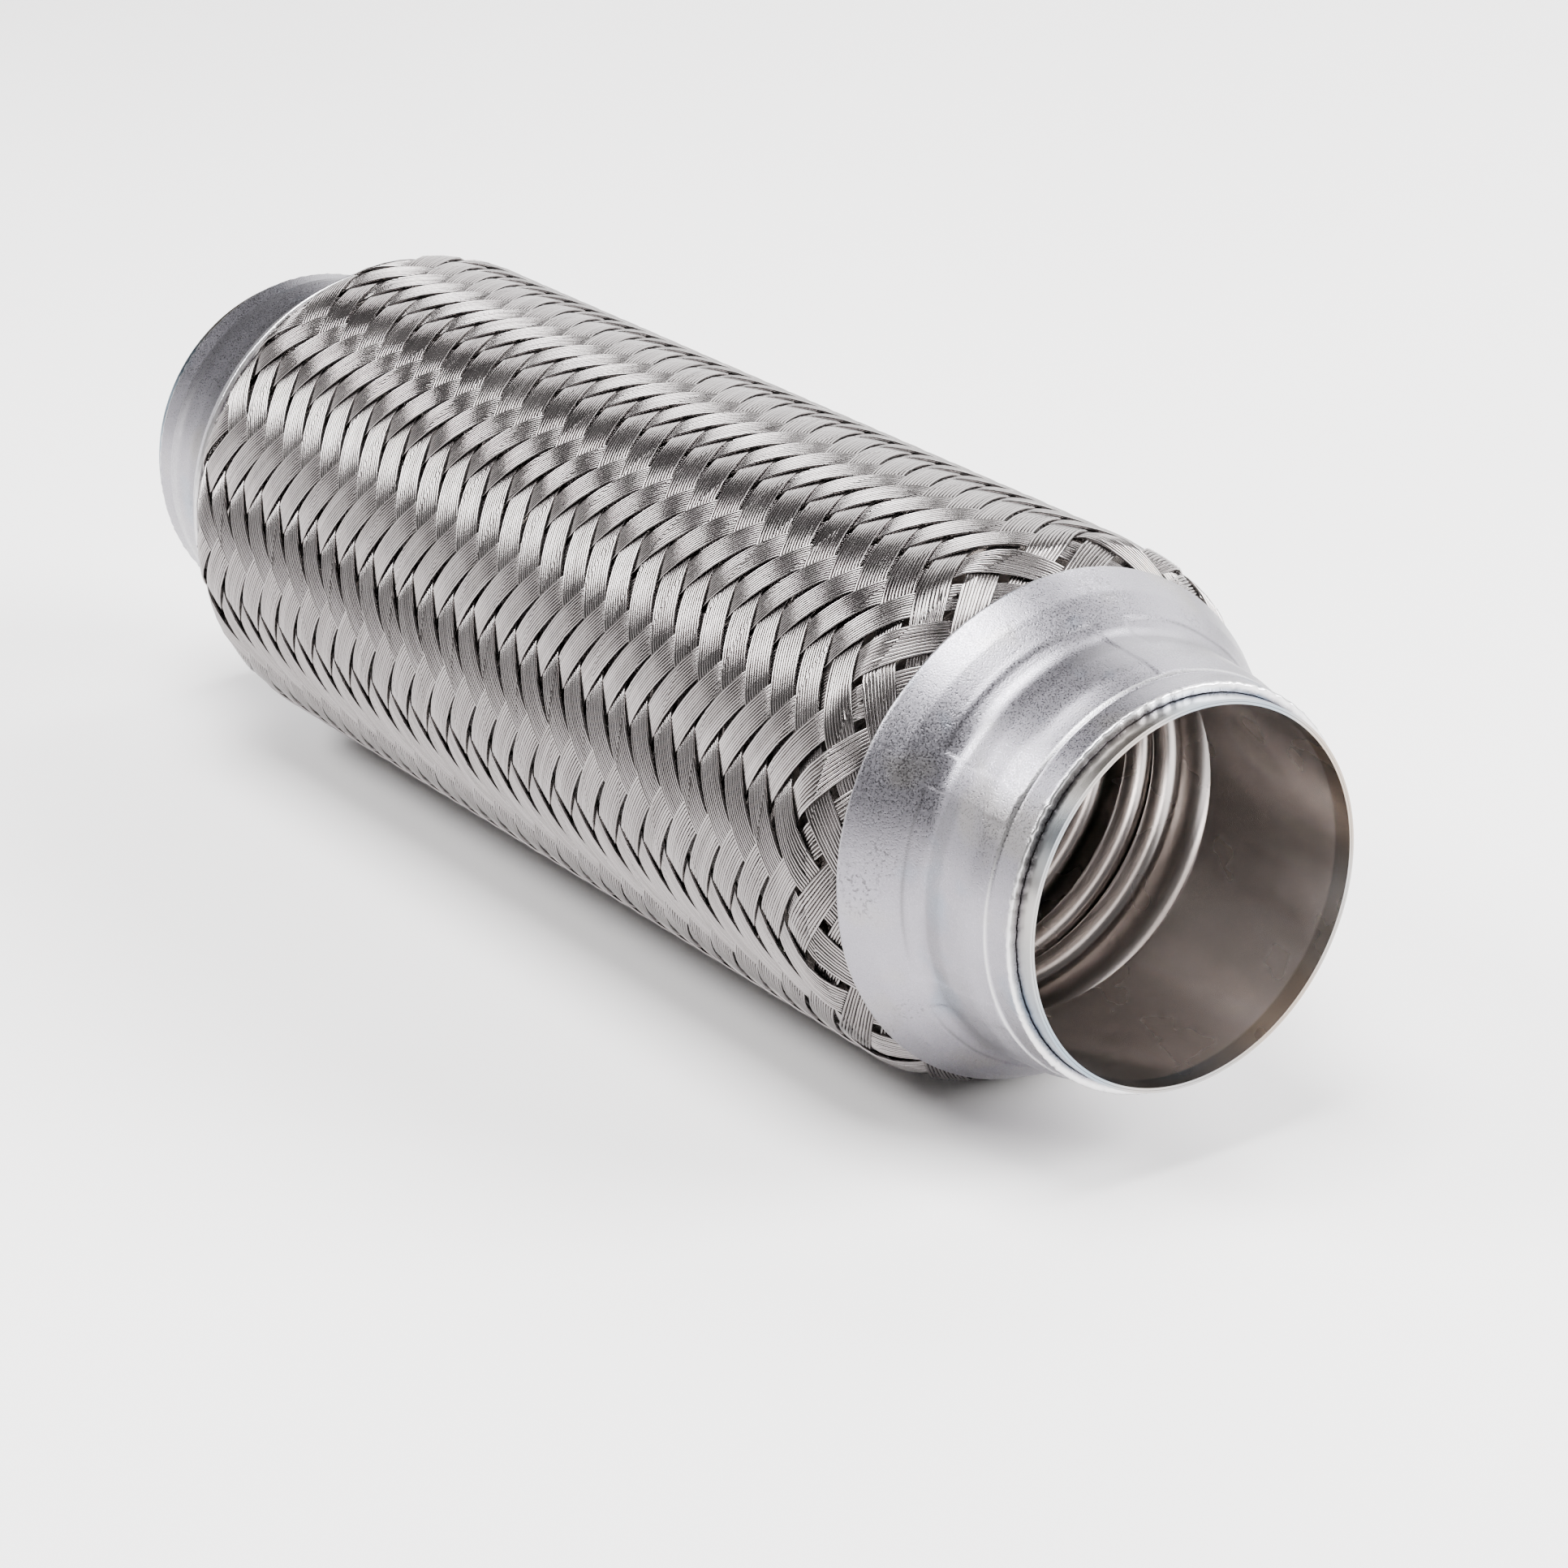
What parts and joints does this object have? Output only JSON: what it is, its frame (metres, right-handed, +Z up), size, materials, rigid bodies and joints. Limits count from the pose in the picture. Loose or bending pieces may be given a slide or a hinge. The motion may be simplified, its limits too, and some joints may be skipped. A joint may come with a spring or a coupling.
{
  "type": "metal bellows expansion joint",
  "caption": "Braided metal bellows expansion joint: a corrugated two-ply steel tube inside a woven wire sleeve, with a pressed cap clamping each plain cuff.",
  "frame": {"origin": "on the pipe's axis, half way between the two cuff rims", "axes": "+X along the pipe's axis towards the front end, +Z up, +Y to the left of +X"},
  "size_m": [0.2, 0.067, 0.067],
  "materials": {
    "braid_wire": "woven bright wire",
    "cap_steel": "frosted pressed sheet",
    "bellows_steel": "satin thin sheet"
  },
  "bodies": {
    "rear_end": {"cuff_inner_ply_rear": "bellows_steel", "cuff_outer_ply_rear": "bellows_steel", "braid_end_rear": "braid_wire", "end_cap_rear": "cap_steel"},
    "section_01": {"bellows_inner_ply_01": "bellows_steel", "bellows_outer_ply_01": "bellows_steel", "braid_sleeve_01": "braid_wire"},
    "section_02": {"bellows_inner_ply_02": "bellows_steel", "bellows_outer_ply_02": "bellows_steel", "braid_sleeve_02": "braid_wire"},
    "section_03": {"bellows_inner_ply_03": "bellows_steel", "bellows_outer_ply_03": "bellows_steel", "braid_sleeve_03": "braid_wire"},
    "section_04": {"bellows_inner_ply_04": "bellows_steel", "bellows_outer_ply_04": "bellows_steel", "braid_sleeve_04": "braid_wire"},
    "section_05": {"bellows_inner_ply_05": "bellows_steel", "bellows_outer_ply_05": "bellows_steel", "braid_sleeve_05": "braid_wire"},
    "section_06": {"bellows_inner_ply_06": "bellows_steel", "bellows_outer_ply_06": "bellows_steel", "braid_sleeve_06": "braid_wire"},
    "section_07": {"bellows_inner_ply_07": "bellows_steel", "bellows_outer_ply_07": "bellows_steel", "braid_sleeve_07": "braid_wire"},
    "section_08": {"bellows_inner_ply_08": "bellows_steel", "bellows_outer_ply_08": "bellows_steel", "braid_sleeve_08": "braid_wire"},
    "section_09": {"bellows_inner_ply_09": "bellows_steel", "bellows_outer_ply_09": "bellows_steel", "braid_sleeve_09": "braid_wire"},
    "section_10": {"bellows_inner_ply_10": "bellows_steel", "bellows_outer_ply_10": "bellows_steel", "braid_sleeve_10": "braid_wire"},
    "section_11": {"bellows_inner_ply_11": "bellows_steel", "bellows_outer_ply_11": "bellows_steel", "braid_sleeve_11": "braid_wire"},
    "section_12": {"bellows_inner_ply_12": "bellows_steel", "bellows_outer_ply_12": "bellows_steel", "braid_sleeve_12": "braid_wire"},
    "section_13": {"bellows_inner_ply_13": "bellows_steel", "bellows_outer_ply_13": "bellows_steel", "braid_sleeve_13": "braid_wire"},
    "section_14": {"bellows_inner_ply_14": "bellows_steel", "bellows_outer_ply_14": "bellows_steel", "braid_sleeve_14": "braid_wire"},
    "section_15": {"bellows_inner_ply_15": "bellows_steel", "bellows_outer_ply_15": "bellows_steel", "braid_sleeve_15": "braid_wire"},
    "section_16": {"bellows_inner_ply_16": "bellows_steel", "bellows_outer_ply_16": "bellows_steel", "braid_sleeve_16": "braid_wire"},
    "front_end": {"cuff_inner_ply_front": "bellows_steel", "cuff_outer_ply_front": "bellows_steel", "braid_end_front": "braid_wire", "end_cap_front": "cap_steel"}
  },
  "joints": [
    {"name": "joint_01_bend_up_left", "type": "hinge", "parent": "rear_end", "child": "section_01", "pos_m": [-0.0655, 0, 0], "axis": [0, -0.7071, 0.7071], "range_deg": [-3, 3], "stiffness_Nm_per_rad": 172, "deforming": ["bellows_inner_ply_01", "bellows_outer_ply_01", "braid_sleeve_01"]},
    {"name": "joint_02_bend_down_left", "type": "hinge", "parent": "section_01", "child": "section_02", "pos_m": [-0.0527, 0, 0], "axis": [0, 0.7071, 0.7071], "range_deg": [-3, 3], "stiffness_Nm_per_rad": 172, "deforming": ["bellows_inner_ply_02", "bellows_outer_ply_02", "braid_sleeve_02"]},
    {"name": "joint_03_slide", "type": "slide", "parent": "section_02", "child": "section_03", "axis": [1, 0, 0], "range_m": [-0.002, 0.0006], "stiffness_N_per_m": 60000, "deforming": ["bellows_inner_ply_03", "bellows_outer_ply_03", "braid_sleeve_03"]},
    {"name": "joint_04_bend_up_left", "type": "hinge", "parent": "section_03", "child": "section_04", "pos_m": [-0.03764, 0, 0], "axis": [0, -0.7071, 0.7071], "range_deg": [-3, 3], "stiffness_Nm_per_rad": 172, "deforming": ["bellows_inner_ply_04", "bellows_outer_ply_04", "braid_sleeve_04"]},
    {"name": "joint_05_bend_down_left", "type": "hinge", "parent": "section_04", "child": "section_05", "pos_m": [-0.03011, 0, 0], "axis": [0, 0.7071, 0.7071], "range_deg": [-3, 3], "stiffness_Nm_per_rad": 172, "deforming": ["bellows_inner_ply_05", "bellows_outer_ply_05", "braid_sleeve_05"]},
    {"name": "joint_06_slide", "type": "slide", "parent": "section_05", "child": "section_06", "axis": [1, 0, 0], "range_m": [-0.002, 0.0006], "stiffness_N_per_m": 60000, "deforming": ["bellows_inner_ply_06", "bellows_outer_ply_06", "braid_sleeve_06"]},
    {"name": "rear_bend_up_left", "type": "hinge", "parent": "section_06", "child": "section_07", "pos_m": [-0.01506, 0, 0], "axis": [0, -0.7071, 0.7071], "range_deg": [-3, 3], "stiffness_Nm_per_rad": 172, "deforming": ["bellows_inner_ply_07", "bellows_outer_ply_07", "braid_sleeve_07"]},
    {"name": "rear_bend_down_left", "type": "hinge", "parent": "section_07", "child": "section_08", "pos_m": [-0.00753, 0, 0], "axis": [0, 0.7071, 0.7071], "range_deg": [-3, 3], "stiffness_Nm_per_rad": 172, "deforming": ["bellows_inner_ply_08", "bellows_outer_ply_08", "braid_sleeve_08"]},
    {"name": "axial_stretch", "type": "slide", "parent": "section_08", "child": "section_09", "axis": [1, 0, 0], "range_m": [-0.002, 0.0006], "stiffness_N_per_m": 60000, "deforming": ["bellows_inner_ply_09", "bellows_outer_ply_09", "braid_sleeve_09"]},
    {"name": "front_bend_down_left", "type": "hinge", "parent": "section_09", "child": "section_10", "pos_m": [0.00753, 0, 0], "axis": [0, 0.7071, 0.7071], "range_deg": [-3, 3], "stiffness_Nm_per_rad": 172, "deforming": ["bellows_inner_ply_10", "bellows_outer_ply_10", "braid_sleeve_10"]},
    {"name": "front_bend_up_left", "type": "hinge", "parent": "section_10", "child": "section_11", "pos_m": [0.01506, 0, 0], "axis": [0, -0.7071, 0.7071], "range_deg": [-3, 3], "stiffness_Nm_per_rad": 172, "deforming": ["bellows_inner_ply_11", "bellows_outer_ply_11", "braid_sleeve_11"]},
    {"name": "joint_12_slide", "type": "slide", "parent": "section_11", "child": "section_12", "axis": [1, 0, 0], "range_m": [-0.002, 0.0006], "stiffness_N_per_m": 60000, "deforming": ["bellows_inner_ply_12", "bellows_outer_ply_12", "braid_sleeve_12"]},
    {"name": "joint_13_bend_down_left", "type": "hinge", "parent": "section_12", "child": "section_13", "pos_m": [0.03011, 0, 0], "axis": [0, 0.7071, 0.7071], "range_deg": [-3, 3], "stiffness_Nm_per_rad": 172, "deforming": ["bellows_inner_ply_13", "bellows_outer_ply_13", "braid_sleeve_13"]},
    {"name": "joint_14_bend_up_left", "type": "hinge", "parent": "section_13", "child": "section_14", "pos_m": [0.03764, 0, 0], "axis": [0, -0.7071, 0.7071], "range_deg": [-3, 3], "stiffness_Nm_per_rad": 172, "deforming": ["bellows_inner_ply_14", "bellows_outer_ply_14", "braid_sleeve_14"]},
    {"name": "joint_15_slide", "type": "slide", "parent": "section_14", "child": "section_15", "axis": [1, 0, 0], "range_m": [-0.002, 0.0006], "stiffness_N_per_m": 60000, "deforming": ["bellows_inner_ply_15", "bellows_outer_ply_15", "braid_sleeve_15"]},
    {"name": "joint_16_bend_down_left", "type": "hinge", "parent": "section_15", "child": "section_16", "pos_m": [0.0527, 0, 0], "axis": [0, 0.7071, 0.7071], "range_deg": [-3, 3], "stiffness_Nm_per_rad": 172, "deforming": ["bellows_inner_ply_16", "bellows_outer_ply_16", "braid_sleeve_16"]},
    {"name": "joint_17_bend_up_left", "type": "hinge", "parent": "section_16", "child": "front_end", "pos_m": [0.0655, 0, 0], "axis": [0, -0.7071, 0.7071], "range_deg": [-3, 3], "stiffness_Nm_per_rad": 172}
  ],
  "couplings": [
    {"joint": "joint_03_slide", "follows": "axial_stretch", "ratio": 1},
    {"joint": "joint_06_slide", "follows": "axial_stretch", "ratio": 1},
    {"joint": "joint_12_slide", "follows": "axial_stretch", "ratio": 1},
    {"joint": "joint_15_slide", "follows": "axial_stretch", "ratio": 1},
    {"joint": "joint_01_bend_up_left", "follows": "rear_bend_up_left", "ratio": 1},
    {"joint": "joint_04_bend_up_left", "follows": "rear_bend_up_left", "ratio": 1},
    {"joint": "joint_14_bend_up_left", "follows": "front_bend_up_left", "ratio": 1},
    {"joint": "joint_17_bend_up_left", "follows": "front_bend_up_left", "ratio": 1},
    {"joint": "joint_02_bend_down_left", "follows": "rear_bend_down_left", "ratio": 1},
    {"joint": "joint_05_bend_down_left", "follows": "rear_bend_down_left", "ratio": 1},
    {"joint": "joint_13_bend_down_left", "follows": "front_bend_down_left", "ratio": 1},
    {"joint": "joint_16_bend_down_left", "follows": "front_bend_down_left", "ratio": 1}
  ]
}
